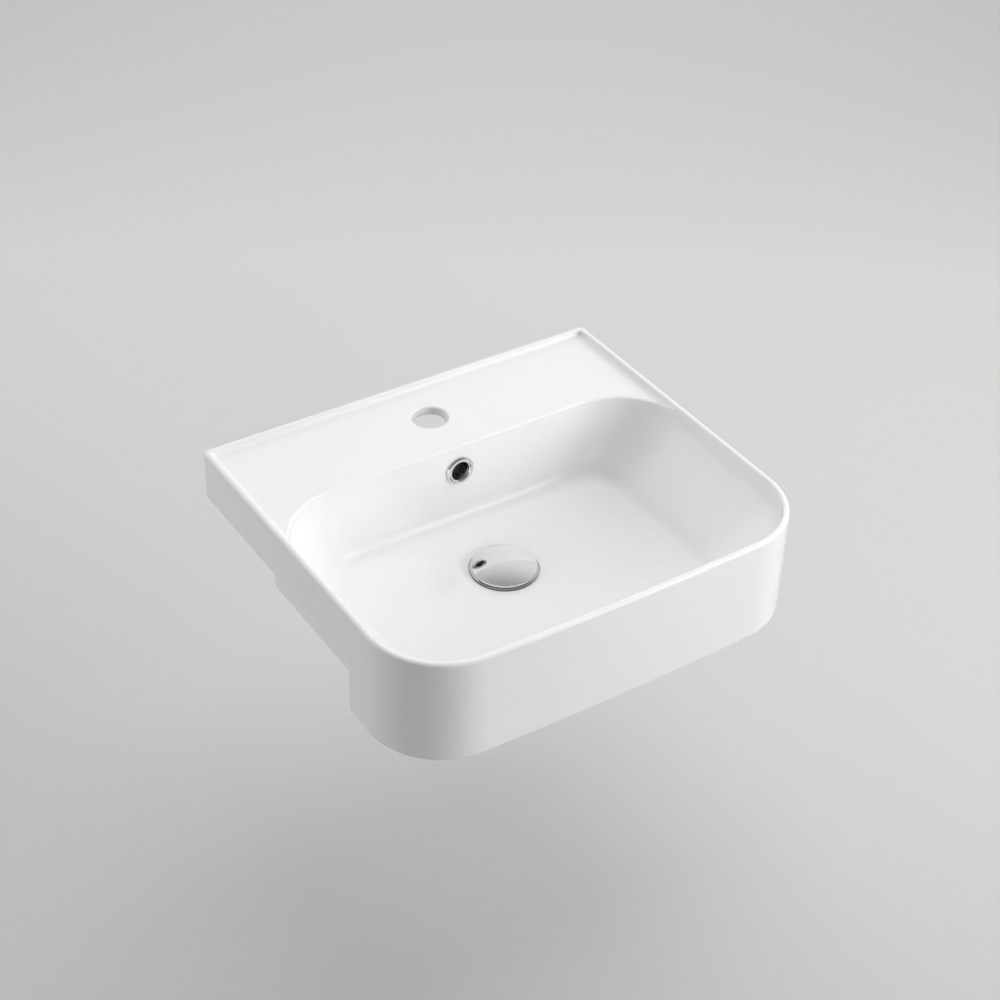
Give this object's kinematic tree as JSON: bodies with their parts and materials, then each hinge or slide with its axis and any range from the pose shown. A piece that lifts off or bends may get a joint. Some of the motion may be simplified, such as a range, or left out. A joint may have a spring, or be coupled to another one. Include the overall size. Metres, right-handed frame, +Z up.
{
  "type": "semi-recessed wash basin",
  "caption": "Semi-recessed ceramic wash basin with a tap hole, an overflow ring and a chrome push-push pop-up waste.",
  "frame": {"origin": "middle of the ledge's underside at the wall: z = 0 is the worktop, y = 0 is the wall face, x = 0 is the middle", "axes": "+Z up, +Y towards the wall, +X to the right of a person standing at the basin"},
  "size_m": [0.42, 0.3725, 0.1755],
  "materials": {
    "glazed_ceramic": "white gloss glaze",
    "chrome": "bright polished chrome plate",
    "raw_brass": "turned brass, satin",
    "steel": "stainless spring steel",
    "gasket_rubber": "matte black rubber",
    "washer_plastic": "natural polypropylene",
    "clip_plastic": "dark acetal"
  },
  "bodies": {
    "basin": {"basin_body": "glazed_ceramic", "overflow_bezel": "chrome", "overflow_clip": "clip_plastic", "waste_body": "chrome", "flange_gasket": "gasket_rubber", "under_washer": "gasket_rubber", "slip_washer": "washer_plastic", "backnut": "raw_brass", "click_barrel": "raw_brass", "barrel_bush": "clip_plastic", "barrel_oring": "gasket_rubber", "barrel_washer": "steel", "barrel_nut": "raw_brass", "click_spring": "steel"},
    "pop_up": {"waste_cap": "chrome", "cap_seal": "gasket_rubber", "cap_locknut": "raw_brass", "click_plunger": "raw_brass", "cam_clip": "steel"},
    "latch_rotor": {"click_cam": "clip_plastic"}
  },
  "joints": [
    {"name": "pop_up_slide", "type": "slide", "parent": "basin", "child": "pop_up", "axis": [0, 0, 1], "range_m": [0, 0.008], "deforming": ["click_spring"]},
    {"name": "rotor_turn", "type": "hinge", "parent": "pop_up", "child": "latch_rotor", "pos_m": [0, -0.1847, -0.07], "axis": [0, 0, 1], "range_deg": [0, 45]}
  ],
  "couplings": [
    {"joint": "rotor_turn", "follows": "pop_up_slide", "rad_per_m": 98.17}
  ]
}
